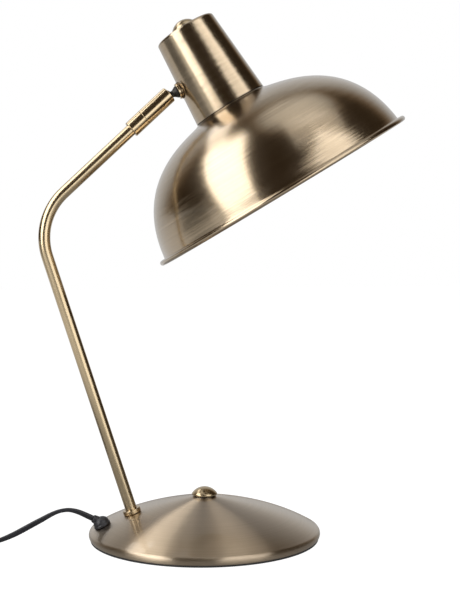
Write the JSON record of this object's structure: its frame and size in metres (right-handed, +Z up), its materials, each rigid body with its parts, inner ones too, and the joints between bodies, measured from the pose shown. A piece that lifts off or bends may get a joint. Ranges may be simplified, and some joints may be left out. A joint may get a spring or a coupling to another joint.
{
  "type": "dome shade desk lamp",
  "caption": "Desk lamp: domed metal shade under a tapered cup, held by a ball joint on a bent tube stem over a weighted domed base, with mains cord and inline switch.",
  "frame": {"origin": "centre of the base on the surface it stands on", "axes": "+Z up; the stem leans towards -X, the head hangs over +X, and +Y is the lamp's left seen from behind the stem"},
  "size_m": [0.4941, 0.249, 0.4506],
  "materials": {
    "spun_brass": "antique plating, spun brushing round the axis, clear lacquer",
    "stem_brass": "antique plating, smooth polish",
    "steel": "zinc plated",
    "black_steel": "black oxide, satin",
    "iron": "as cast",
    "rubber": "matt",
    "cord_pvc": "smooth flexible sheath",
    "black_plastic": "fine grain",
    "white_plastic": "moulded thermoset",
    "nylon": "natural, machined",
    "opal_glass": "opal white"
  },
  "bodies": {
    "base": {"base_cover": "spun_brass", "base_weight": "iron", "base_plate": "black_steel", "base_screws": "steel", "foot_ring": "rubber", "tie_rod": "steel", "tie_nut": "steel", "tie_washer": "steel", "base_finial": "stem_brass", "base_finial_washer": "rubber", "stem_tube": "stem_brass", "stem_collar": "stem_brass", "stem_washer": "steel", "stem_nut": "steel", "cord_gland": "rubber", "lead_stem": "cord_pvc", "sleeve_base": "stem_brass", "sleeve_cap": "stem_brass", "seat_spring": "steel", "cord_lead": "cord_pvc", "cord_link": "cord_pvc", "cord_coil": "cord_pvc", "cord_tail": "cord_pvc", "switch_lower": "black_plastic", "switch_upper": "black_plastic", "switch_screws": "steel", "switch_contacts": "stem_brass", "plug_body": "black_plastic", "plug_sleeves": "black_plastic", "plug_pins": "steel"},
    "seat": {"ball_seat": "nylon"},
    "stud": {"ball_stud": "black_steel", "lead_ball": "cord_pvc"},
    "head": {"stud_nut": "stem_brass", "stud_washer": "stem_brass", "stud_inner_washer": "steel", "stud_locknut": "steel", "cup": "spun_brass", "seam_ring": "rubber", "cup_finial": "stem_brass", "cup_finial_washer": "rubber", "holder_rod": "steel", "rod_nut": "steel", "rod_washer": "steel", "holder_cap": "white_plastic", "holder_body": "white_plastic", "holder_shell": "stem_brass", "holder_contact": "stem_brass", "shade": "spun_brass", "shade_ring": "white_plastic", "bulb_cap": "steel", "bulb_glass": "opal_glass", "lead_head": "cord_pvc"},
    "rocker": {"switch_rocker": "black_plastic"}
  },
  "joints": [
    {"name": "head_swivel", "type": "hinge", "parent": "base", "child": "seat", "pos_m": [-0.03216, 0, 0.37927], "axis": [0.729, 0, 0.6845], "range_deg": [-60, 60]},
    {"name": "head_tilt", "type": "hinge", "parent": "seat", "child": "stud", "pos_m": [-0.03216, 0, 0.37927], "axis": [0, 1, 0], "range_deg": [-41.5, 8.3]},
    {"name": "head_roll", "type": "hinge", "parent": "stud", "child": "head", "pos_m": [-0.03216, 0, 0.37927], "axis": [0.8959, 0, 0.4442], "range_deg": [-36.5, 43.5]},
    {"name": "switch_rock", "type": "hinge", "parent": "base", "child": "rocker", "pos_m": [-0.253, 0, 0.0102], "axis": [0, 1, 0], "range_deg": [-16, 0]}
  ]
}
